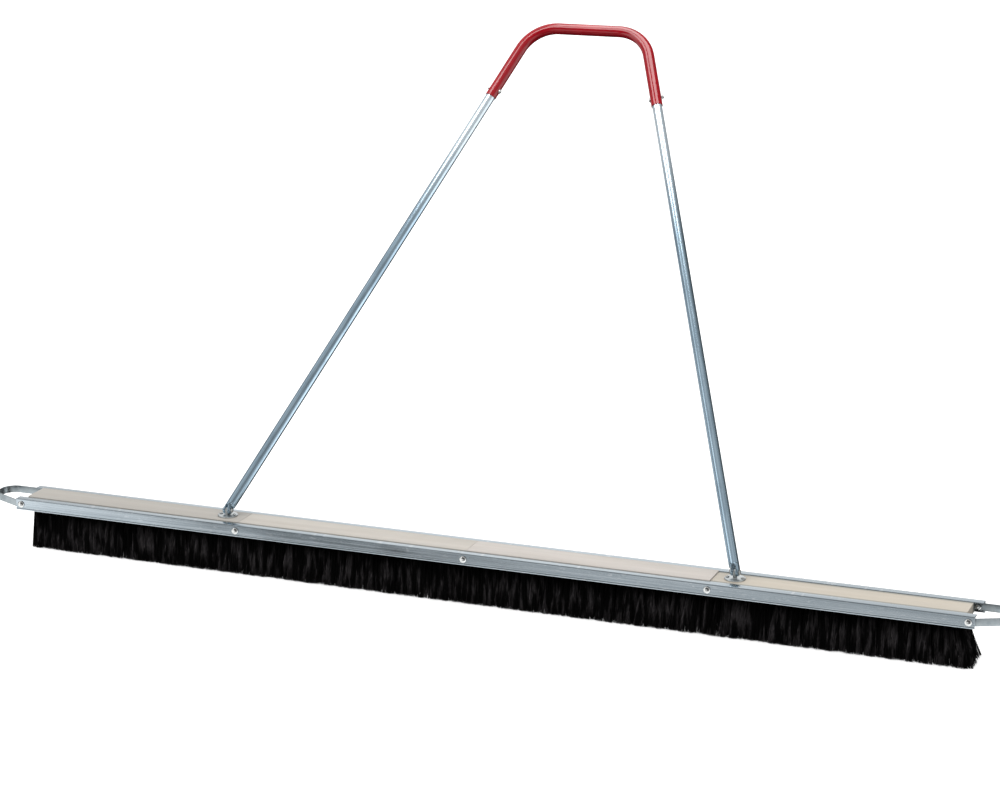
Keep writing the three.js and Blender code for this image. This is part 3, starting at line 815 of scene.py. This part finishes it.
def fastener(name, node, shape, matrix, material, body):
    """A piece made on +Z and set down by a matrix, in place of its CAD node."""
    obj = piece(name, shape, material)
    obj.matrix_world = matrix
    finish_piece(obj, body, "zinc_steel", node)


def head_fastener(name, node, shape, seat, out, material, turn=0):
    """A bolt or nut of the head, facing +Y or -Y and turned on its axis, in degrees."""
    matrix = Matrix.Translation(seat) @ facing_y(out) @ Matrix.Rotation(math.radians(turn), 4, "Z")
    fastener(name, node, shape, matrix, material, "head")


def head_bolt(length, threaded):
    return domed_bolt(BOLT_RADIUS, length, BOLT_HEAD_RADIUS, BOLT_HEAD_HEIGHT, THREAD_PITCH, threaded)


def seam_bolts(material):
    for i in range(1, 4):
        bolt_low, bolt_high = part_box(f"seam_bolt_{i}")
        middle = centre_of(f"seam_bolt_{i}")
        seat = Vector((middle.x, bolt_low.y + BOLT_HEAD_HEIGHT, middle.z))
        bolt = head_bolt(bolt_high.y - seat.y, LONG_THREAD)
        head_fastener(f"long_bolt_{i}", f"seam_bolt_{i}", bolt, seat, -1, material)
        for kind, shape in (
            ("washer", washer(WASHER_RADIUS, BOLT_RADIUS + GAP, WASHER_THICK)),
            ("nut", hex_nut(NUT_FLATS, NUT_HEIGHT, BOLT_RADIUS + GAP)),
        ):
            node = f"seam_{kind}_{i}"
            foot = Vector((seat.x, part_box(node)[0].y, seat.z))
            head_fastener(f"long_bolt_{kind}_{i}", node, shape, foot, 1, material, 25 * i)


def loop_bolts(material):
    for end, face in FACES.items():
        for name, side in SIDES.items():
            node = f"loop_bolt_{end}_{name}"
            low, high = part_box(node)
            head_y, tip_y = (low.y, high.y) if face < 0 else (high.y, low.y)
            middle = centre_of(node)
            seat = Vector((middle.x, head_y - face * BOLT_HEAD_HEIGHT, middle.z))
            bolt = head_bolt(abs(tip_y - seat.y), SHORT_THREAD)
            head_fastener(f"short_bolt_{end}_{name}", node, bolt, seat, face, material)
            nut_node = f"loop_nut_{end}_{name}"
            nut_low, nut_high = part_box(nut_node)
            foot = Vector((seat.x, nut_high.y if face > 0 else nut_low.y, seat.z))
            turn = 10 + 17 * (face + 2 * side)
            nut = hex_nut(NUT_FLATS, NUT_HEIGHT, BOLT_RADIUS + GAP)
            head_fastener(f"short_bolt_nut_{end}_{name}", nut_node, nut, foot, -face, material, turn)


def pivot_base_shape(up):
    """A round flange and an upright lug, whose round top is centred that far up."""
    foot = GAP + BASE_RIM
    disc = lathe([(0, GAP), (BASE_RADIUS - BASE_RIM, GAP), (BASE_RADIUS, foot),
                  (BASE_RADIUS, BASE_THICK - 2 * BASE_RIM),
                  (BASE_RADIUS - 2 * BASE_RIM, BASE_THICK), (0, BASE_THICK)], 96)
    outline = [(-LUG_RADIUS, foot), (LUG_RADIUS, foot)] + arc((0, up), LUG_RADIUS, 0, 180, 24)
    return disc, along_x(outline, -LUG_THICK / 2, LUG_THICK / 2)


def pivot_bases(cast, plated):
    """Each base, bored for the pivot bolt and two screws, and its screws."""
    for name, side in SIDES.items():
        node = f"pivot_base_{name}"
        foot = Vector((side * PIVOT_X, 0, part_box(node)[0].z - GAP))
        up = PIVOT.z - foot.z
        disc, lug = pivot_base_shape(up)
        base = piece(f"pivot_foot_{name}", disc, cast)
        carve(base, [piece("lug", lug, cast)], "UNION")
        bore = rod_x(PIVOT_BOLT_RADIUS + GAP, 2 * LUG_THICK)
        holes = [piece("bore", shift(bore, (0, 0, up)), cast)]
        for hand in SIDES.values():
            drill = lathe([(0, -BASE_THICK), (BASE_SCREW_RADIUS + GAP, -BASE_THICK),
                           (BASE_SCREW_RADIUS + GAP, 2 * BASE_THICK), (0, 2 * BASE_THICK)], 32)
            holes.append(piece("hole", shift(drill, (hand * BASE_SCREW_X, 0, 0)), cast))
        carve(base, holes)
        soften(base, voxel=0.35 * MM, rounds=6)
        base.matrix_world = Matrix.Translation(foot)
        finish_piece(base, "head", "zinc_steel", node)
        for place, hand in (("outer", side), ("inner", -side)):
            screw_node = f"base_screw_{name}_{place}"
            seat = Vector((foot.x + hand * BASE_SCREW_X, 0, foot.z + BASE_THICK + GAP))
            screw = cross_screw(f"wood_screw_{name}_{place}", plated, hand)
            screw.matrix_world = Matrix.Translation(seat)
            finish_piece(screw, "head", "zinc_steel", screw_node)


def shift(shape, by):
    vertices, faces = shape
    return [Vector(v) + Vector(by) for v in vertices], faces


def cross_screw(name, material, hand):
    """A pan-head wood screw with a cross recess."""
    head_radius, head_height = BASE_SCREW_HEAD
    shape = domed_bolt(BASE_SCREW_RADIUS, BASE_SCREW_LENGTH, head_radius, head_height,
                       BASE_SCREW_PITCH, BASE_SCREW_THREAD)
    screw = piece(name, shape, material)
    arm, wide, deep = 2.1 * MM, 0.45 * MM, 1.1 * MM
    cutters = []
    for low, high in (((-arm, -wide), (arm, wide)), ((-wide, -arm), (wide, arm))):
        shape = box_shape((*low, head_height - deep), (*high, 2 * head_height))
        cutter = piece("recess", shape, material)
        cutter.matrix_world = Matrix.Rotation(math.radians(24 + 31 * hand), 4, "Z")
        cutters.append(cutter)
    bpy.context.view_layer.update()
    carve(screw, cutters)
    shade(screw, 35)
    return screw


# ---- Handle ----


def fork(side, material):
    """A plug in the tube's end, slotted over the lug, with flats for the bolt and nut."""
    plug = TUBE_RADIUS - TUBE_WALL - GAP
    top = FORK_LENGTH + FORK_PLUG_LENGTH
    low = -2 * FORK_END_RADIUS
    body = piece("fork", lathe([
        (0, low), (FORK_RADIUS, low), (FORK_RADIUS, FORK_LENGTH - FORK_EASE),
        (FORK_RADIUS - FORK_EASE, FORK_LENGTH), (plug, FORK_LENGTH), (plug, top - FORK_EASE),
        (plug - FORK_EASE, top), (0, top)], 96), material)
    body.data.transform(Matrix.Rotation(-side * SPLAY, 4, "Y"))
    far = 3 * FORK_RADIUS
    side_view = arc((0, 0), FORK_END_RADIUS, 180, 360, 32)
    side_view += [(FORK_RADIUS, FORK_LENGTH), (FORK_RADIUS, top + 5 * MM)]
    side_view += [(-FORK_RADIUS, top + 5 * MM), (-FORK_RADIUS, FORK_LENGTH)]
    carve(body, [piece("kept", along_x(side_view, -far, far), material)], "INTERSECT")
    slot_half = LUG_THICK / 2 + GAP
    slot = [(-slot_half, -far), (slot_half, -far)]
    slot += arc((0, FORK_SLOT_DEPTH - slot_half), slot_half, 0, 180, 16)
    cutters = [piece("slot", along_y(slot, -far, far), material)]
    for hand in SIDES.values():
        start, end = sorted((hand * FORK_FLAT, hand * far))
        flat = box_shape((start, -far, -far), (end, far, FORK_FLAT_TOP))
        cutters.append(piece("flat", flat, material))
    cutters.append(piece("bore", rod_x(PIVOT_BOLT_RADIUS + GAP, far), material))
    carve(body, cutters)
    soften(body, voxel=0.4 * MM, rounds=5)
    return body


def cross_fastener(name, node, shape, at, out, material):
    """A bolt or nut of the handle, seated that far out on X and facing away."""
    matrix = at @ Matrix.Translation((out, 0, 0)) @ facing_x(math.copysign(1, out))
    fastener(name, node, shape, matrix, material, "handle")


def pivot_forks(bright, plated):
    for name, side in SIDES.items():
        at = HANDLE @ Matrix.Translation((side * PIVOT_X, 0, 0))
        body = fork(side, bright)
        body.name = f"fork_{name}"
        body.matrix_world = at
        finish_piece(body, "handle", "zinc_steel", f"pivot_fork_{name}")
        seat = FORK_FLAT + GAP
        length = 2 * seat + PIVOT_NUT_HEIGHT + PIVOT_BOLT_REACH
        bolt = hex_bolt(PIVOT_BOLT_RADIUS, length, PIVOT_BOLT_FLATS, PIVOT_HEAD_HEIGHT,
                        PIVOT_BOLT_PITCH, PIVOT_BOLT_THREAD)
        nut = hex_nut(PIVOT_BOLT_FLATS, PIVOT_NUT_HEIGHT, PIVOT_BOLT_RADIUS + GAP)
        cross_fastener(f"hinge_bolt_{name}", f"pivot_bolt_{name}", bolt, at, side * seat, plated)
        cross_fastener(f"hinge_nut_{name}", f"pivot_nut_{name}", nut, at, -side * seat, plated)


def legs(tube_material, plated):
    """The two tubes, each with the cross bolt and nut that hold the grip on it."""
    start = FORK_LENGTH + GAP
    end = LEG_LENGTH - GRIP_LEG + TUBE_IN_GRIP
    steps = 24
    stations = [(Z * (start + (end - start) * i / steps), X, Y, Z) for i in range(steps + 1)]
    shape = tube_along(stations, TUBE_RADIUS, TUBE_RADIUS - TUBE_WALL, 96)
    face = GRIP_RADIUS + GAP
    length = 2 * face + GRIP_NUT_HEIGHT + GRIP_BOLT_REACH
    bolt = domed_bolt(GRIP_BOLT_RADIUS, length, *GRIP_BOLT_HEAD, GRIP_BOLT_PITCH, GRIP_BOLT_THREAD)
    nut = hex_nut(GRIP_NUT_FLATS, GRIP_NUT_HEIGHT, GRIP_BOLT_RADIUS + GAP)
    for name, side in SIDES.items():
        at = leg_frame(side)
        tube = piece(f"leg_{name}", shape, tube_material)
        tube.matrix_world = at
        finish_piece(tube, "handle", "tube_aluminium", f"handle_tube_{name}")
        cross = at @ Matrix.Translation((0, 0, LEG_LENGTH - GRIP_LEG + GRIP_BOLT_UP))
        cross_fastener(f"cross_bolt_{name}", f"grip_bolt_{name}", bolt, cross, -side * face, plated)
        cross_fastener(f"cross_nut_{name}", f"grip_nut_{name}", nut, cross, side * face, plated)


def grip(material):
    """The red tube: down one leg, round two bends and down the other leg."""
    down = LEG_LENGTH - GRIP_LEG
    end = (PIVOT_X - down * math.sin(SPLAY), down * math.cos(SPLAY))
    corners = [end, (CORNER_X, SLANT), (-CORNER_X, SLANT), (-end[0], end[1])]
    stations = []
    for point, heading in rounded_path(corners, [GRIP_BEND_RADIUS] * 2, 2.5):
        ahead = Vector((heading.x, 0, heading.y))
        stations.append((Vector((point.x, 0, point.y)), ahead.cross(Y), Y, ahead))
    tube = piece("grip_tube", tube_along(stations, GRIP_RADIUS, GRIP_BORE_RADIUS, 80), material)
    tube.matrix_world = HANDLE
    finish_piece(tube, "handle", "grip_red", "grip")


# ---- Bristles ----


def tuft_centres(low_x, high_x, rng):
    """Holes under one section: uneven rows, each with a hole at both of the section's ends."""
    xs = np.linspace(low_x + END_MARGIN, high_x - END_MARGIN, TUFT_COLUMNS)
    pitch = xs[1] - xs[0]
    centres = []
    for order, y in enumerate(np.linspace(-ROW_HALF, ROW_HALF, TUFT_ROWS)):
        row = np.column_stack([xs + rng.uniform(-0.5, 0.5) * pitch, np.full(TUFT_COLUMNS, y)])
        row += np.clip(rng.normal(0, 1, row.shape), -1.5, 1.5) * HOLE_JITTER
        row[0, 0], row[-1, 0] = low_x + HOLE_RADIUS, high_x - HOLE_RADIUS
        if order % 2:
            row[1, 0] = row[0, 0] + END_STAGGER * pitch
            row[-2, 0] = row[-1, 0] - END_STAGGER * pitch
        centres.append(row)
    return np.concatenate(centres)


def tuft_tips(centres, rng):
    """Where each tuft's middle comes down: rows flare, neighbours lean together, the ends splay."""
    x, y = centres[:, 0], centres[:, 1]
    sway = sum(reach * np.sin(waves * x + across * y + phase) for reach, waves, across, phase in SWAYS)
    left = np.clip((ROOTS_LEFT + SPLAY_REACH - x) / SPLAY_REACH, 0, 1)
    right = np.clip((x - ROOTS_RIGHT + SPLAY_REACH) / SPLAY_REACH, 0, 1)
    middle = 1 - np.maximum(left, right)
    tips = np.stack([x + (sway - LEAN_LEFT) * middle, y * ROW_FLARE], 1)
    tips[:, 0] += SPLAY_RIGHT * right**1.5 - SPLAY_LEFT * left**2
    loose = np.column_stack([0.3 + 0.7 * middle, np.ones_like(middle)])
    tips += rng.normal(0, 1, tips.shape) * TUFT_SCATTER * loose
    return tips


def filament_faces():
    """One filament's faces: its sides, its root and its tip."""
    n = FILAMENT_SIDES
    last = n * len(FILAMENT_RINGS) - n
    faces = []
    for row in range(0, last, n):
        for i in range(n):
            j = (i + 1) % n
            faces.append((row + i, row + n + i, row + n + j, row + j))
    return faces + [tuple(range(n)), tuple(reversed(range(last, last + n)))]


def bristle_section(index, material, rng):
    """One section's tufts: three-sided filaments from their holes down to the floor."""
    low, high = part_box(f"bristles_{index}")
    left_end, right_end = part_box("bristles_1")[0].x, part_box("bristles_4")[1].x
    wood_low, wood_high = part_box(f"brush_block_{index}")
    ends = max(wood_low.x, ROOTS_LEFT), min(wood_high.x, ROOTS_RIGHT)
    centres = tuft_centres(*ends, rng)
    tuft = np.repeat(np.arange(len(centres)), np.repeat(FILAMENTS, TUFT_COLUMNS))
    count = len(tuft)
    angle = rng.uniform(0, 2 * math.pi, count)
    reach = np.sqrt(rng.uniform(0, 1, count))
    disc = np.stack([reach * np.cos(angle), reach * np.sin(angle)], 1)
    roots = centres[tuft] + disc * HOLE_RADIUS
    tips = tuft_tips(centres, rng)[tuft] + disc * TIP_SPREAD
    tips = tips + rng.normal(0, TIP_SCATTER, (count, 2))
    tips[:, 0] = np.clip(tips[:, 0], left_end - PAST_LEFT, right_end + PAST_RIGHT)
    tips[:, 1] = np.clip(tips[:, 1], low.y, high.y)
    tip_z = low.z + np.minimum(rng.exponential(TIP_UNEVEN, count), TIP_HIGHEST)
    root_z = high.z + ROOT_SUNK
    rows = []
    for share, width in FILAMENT_RINGS:
        wave = rng.normal(0, WAVINESS, (count, 2)) * math.sin(math.pi * share)
        middle = roots + (tips - roots) * share**FILAMENT_CURVE + wave
        height = root_z + (tip_z - root_z) * share
        for corner in range(FILAMENT_SIDES):
            a = angle + corner * 2 * math.pi / FILAMENT_SIDES
            offset = np.stack([np.cos(a), np.sin(a)], 1) * FILAMENT_RADIUS * width
            rows.append(np.column_stack([middle + offset, np.broadcast_to(height, count)]))
    vertices = np.stack(rows, 1).reshape(-1, 3)
    template = filament_faces()
    faces = []
    for first in range(0, len(vertices), len(rows)):
        faces += [tuple(first + v for v in face) for face in template]
    mesh = bpy.data.meshes.new(f"tufts_{index}")
    mesh.from_pydata(vertices.tolist(), [], faces)
    mesh.shade_smooth()
    mesh.materials.append(material)
    tufts = bpy.data.objects.new(f"tufts_{index}", mesh)
    add_to_scene(tufts)
    finish_piece(tufts, "head", "bristle_black", f"bristles_{index}")


def bristles():
    material = bristle_finish()
    rng = np.random.default_rng(BRISTLE_SEED)
    for i in range(1, 5):
        bristle_section(i, material, rng)


# ---- Studio ----


def look(azimuth, elevation):
    """The direction from the object to a viewer at that angle; azimuth 0 stands in front."""
    across, up = math.cos(elevation), math.sin(elevation)
    return Vector((math.sin(azimuth) * across, -math.cos(azimuth) * across, up))


def camera():
    data = bpy.data.cameras.new("camera")
    data.lens = LENS
    data.clip_end = 200
    obj = bpy.data.objects.new("camera", data)
    obj.location = VIEW_TARGET + look(VIEW_AZIMUTH, VIEW_ELEVATION) * VIEW_DISTANCE
    obj.rotation_euler = Euler((math.pi / 2 - VIEW_ELEVATION, 0, VIEW_AZIMUTH))
    add_to_scene(obj)
    bpy.context.scene.camera = obj


def softbox(name, azimuth, elevation, distance, size, brightness, shines_on):
    """A rectangular light of so much radiance that only the given pieces mirror."""
    data = bpy.data.lights.new(name, "AREA")
    data.shape = "RECTANGLE"
    data.size, data.size_y = size
    data.energy = brightness * math.pi * size[0] * size[1]
    direction = look(math.radians(azimuth), math.radians(elevation))
    obj = bpy.data.objects.new(name, data)
    obj.location = direction * distance + LIGHT_TARGET
    obj.rotation_euler = direction.to_track_quat("Z", "Y").to_euler()
    obj.visible_camera = False
    obj.visible_diffuse = False
    mirrors = bpy.data.collections.new(name)
    for shiny in shines_on:
        mirrors.objects.link(shiny)
    obj.light_linking.receiver_collection = mirrors
    add_to_scene(obj)


def sheet(width, depth):
    """A flat rectangle round the origin."""
    x, y = width / 2, depth / 2
    return [(-x, -y, 0), (x, -y, 0), (x, y, 0), (-x, y, 0)], [(0, 1, 2, 3)]


def card(name, centre, size):
    """A pale, slightly glowing card lying on the floor, which only the shiny pieces see."""
    paper = Finish(name, Roughness=1.0, Specular_IOR_Level=0.0,
                   Emission_Strength=0.4, Emission_Color=(1, 1, 1, 1))
    paper.drive(Base_Color=paper.ramp(paper.noise((20, 20, 20)), [(0.3, 0.86), (0.7, 0.9)]))
    obj = piece(name, sheet(*size), paper.material)
    obj.location = (*centre, 1 * MM)
    obj.visible_camera = False
    obj.visible_diffuse = False
    obj.visible_shadow = False


def sector(tree, turn, stops):
    """Greys round the horizon, from (azimuth in degrees, radiance) pairs."""
    share = tree.span(turn, 0, 1, -math.pi, math.pi)
    return tree.ramp(share, [(a / 360 + 0.5, radiance / SKY_STRENGTH) for a, radiance in stops])


def grey(radiance):
    return (radiance / SKY_STRENGTH,) * 3 + (1,)


def room(world):
    """Even white light from above for the plain surfaces and white behind the object.

    The metals mirror a dim studio: dark in front and in the right back corner, brighter at the
    left front, on the right and behind, over a floor lit in patches. Heights are the sines of
    the elevations.
    """
    tree = Nodes(world.node_tree)
    way = tree.add("ShaderNodeTexCoord", {}, "Generated")
    east, north, height = (tree.add("ShaderNodeSeparateXYZ", {"Vector": way}, axis) for axis in "XYZ")
    turn = tree.math("ARCTAN2", east, tree.math("MULTIPLY", north, -1.0))
    floor = sector(tree, turn, FLOOR_GREYS)
    walls = sector(tree, turn, WALL_GREYS)
    above = sector(tree, turn, CEILING_GREYS)
    below = tree.mix(tree.span(height, 0, 1, -0.55, -0.4), grey(0.06), floor)
    sides = tree.mix(tree.span(height, 0, 1, -0.03, 0.03), below, walls)
    mirrored = tree.mix(tree.span(height, 0, 1, 0.54, 0.68), sides, above)
    soft = tree.mix(tree.span(height, 0, 1, -0.1, 0.1), grey(0.16), grey(1.1))
    rays = tree.nodes.new("ShaderNodeLightPath")
    seen = tree.mix(rays.outputs["Is Camera Ray"], soft, grey(1.0))
    sky = tree.nodes["Background"]
    tree.links.new(tree.mix(rays.outputs["Is Glossy Ray"], seen, mirrored), sky.inputs["Color"])
    sky.inputs["Strength"].default_value = SKY_STRENGTH


def sun():
    """A wide soft light from the upper left that shapes the plain surfaces."""
    data = bpy.data.lights.new("sun", "SUN")
    data.energy = 1.1
    data.angle = math.radians(70)
    obj = bpy.data.objects.new("sun", data)
    obj.rotation_euler = look(math.radians(-35), math.radians(58)).to_track_quat("Z", "Y").to_euler()
    obj.visible_glossy = False
    add_to_scene(obj)


def studio():
    """The room, the sun, the card and a floor of plain paper, which the metals don't mirror."""
    world = bpy.data.worlds.new("studio")
    bpy.context.scene.world = world
    world.use_nodes = True
    room(world)
    bpy.context.scene.view_settings.view_transform = "Standard"
    sun()
    card("card", (0, -0.125), (2.6, 0.19))
    paper = Finish("paper", Roughness=0.9, Specular_IOR_Level=0.2,
                   Emission_Strength=0.3, Emission_Color=(1, 1, 1, 1))
    grain = paper.noise((40, 40, 40), detail=2)
    paper.drive(Base_Color=paper.ramp(grain, [(0.3, 0.93), (0.7, 0.95)]))
    floor = piece("floor", sheet(2 * FLOOR_HALF, 2 * FLOOR_HALF), paper.material)
    floor.location.z = -1 * MM
    floor.visible_glossy = False
    floor.visible_diffuse = False


# ---- Assembly ----

camera()
studio()
plated = zinc_finish()
cast = cast_finish()
rails(rail_finish())
brush_blocks()
bristles()
tow_loops(strap_finish())
seam_bolts(plated)
loop_bolts(plated)
pivot_bases(cast, plated)
pivot_forks(tube_finish("fork_bright"), plated)
legs(tube_finish("tube_aluminium"), plated)
grip(grip_finish())
softbox("overhead", azimuth=165, elevation=76, distance=2.3, size=(1.6, 1.3), brightness=6.5,
        shines_on=PIECES["handle"])
softbox("near", azimuth=-101, elevation=72, distance=1.5, size=(0.5, 0.5), brightness=6.0,
        shines_on=PIECES["handle"])
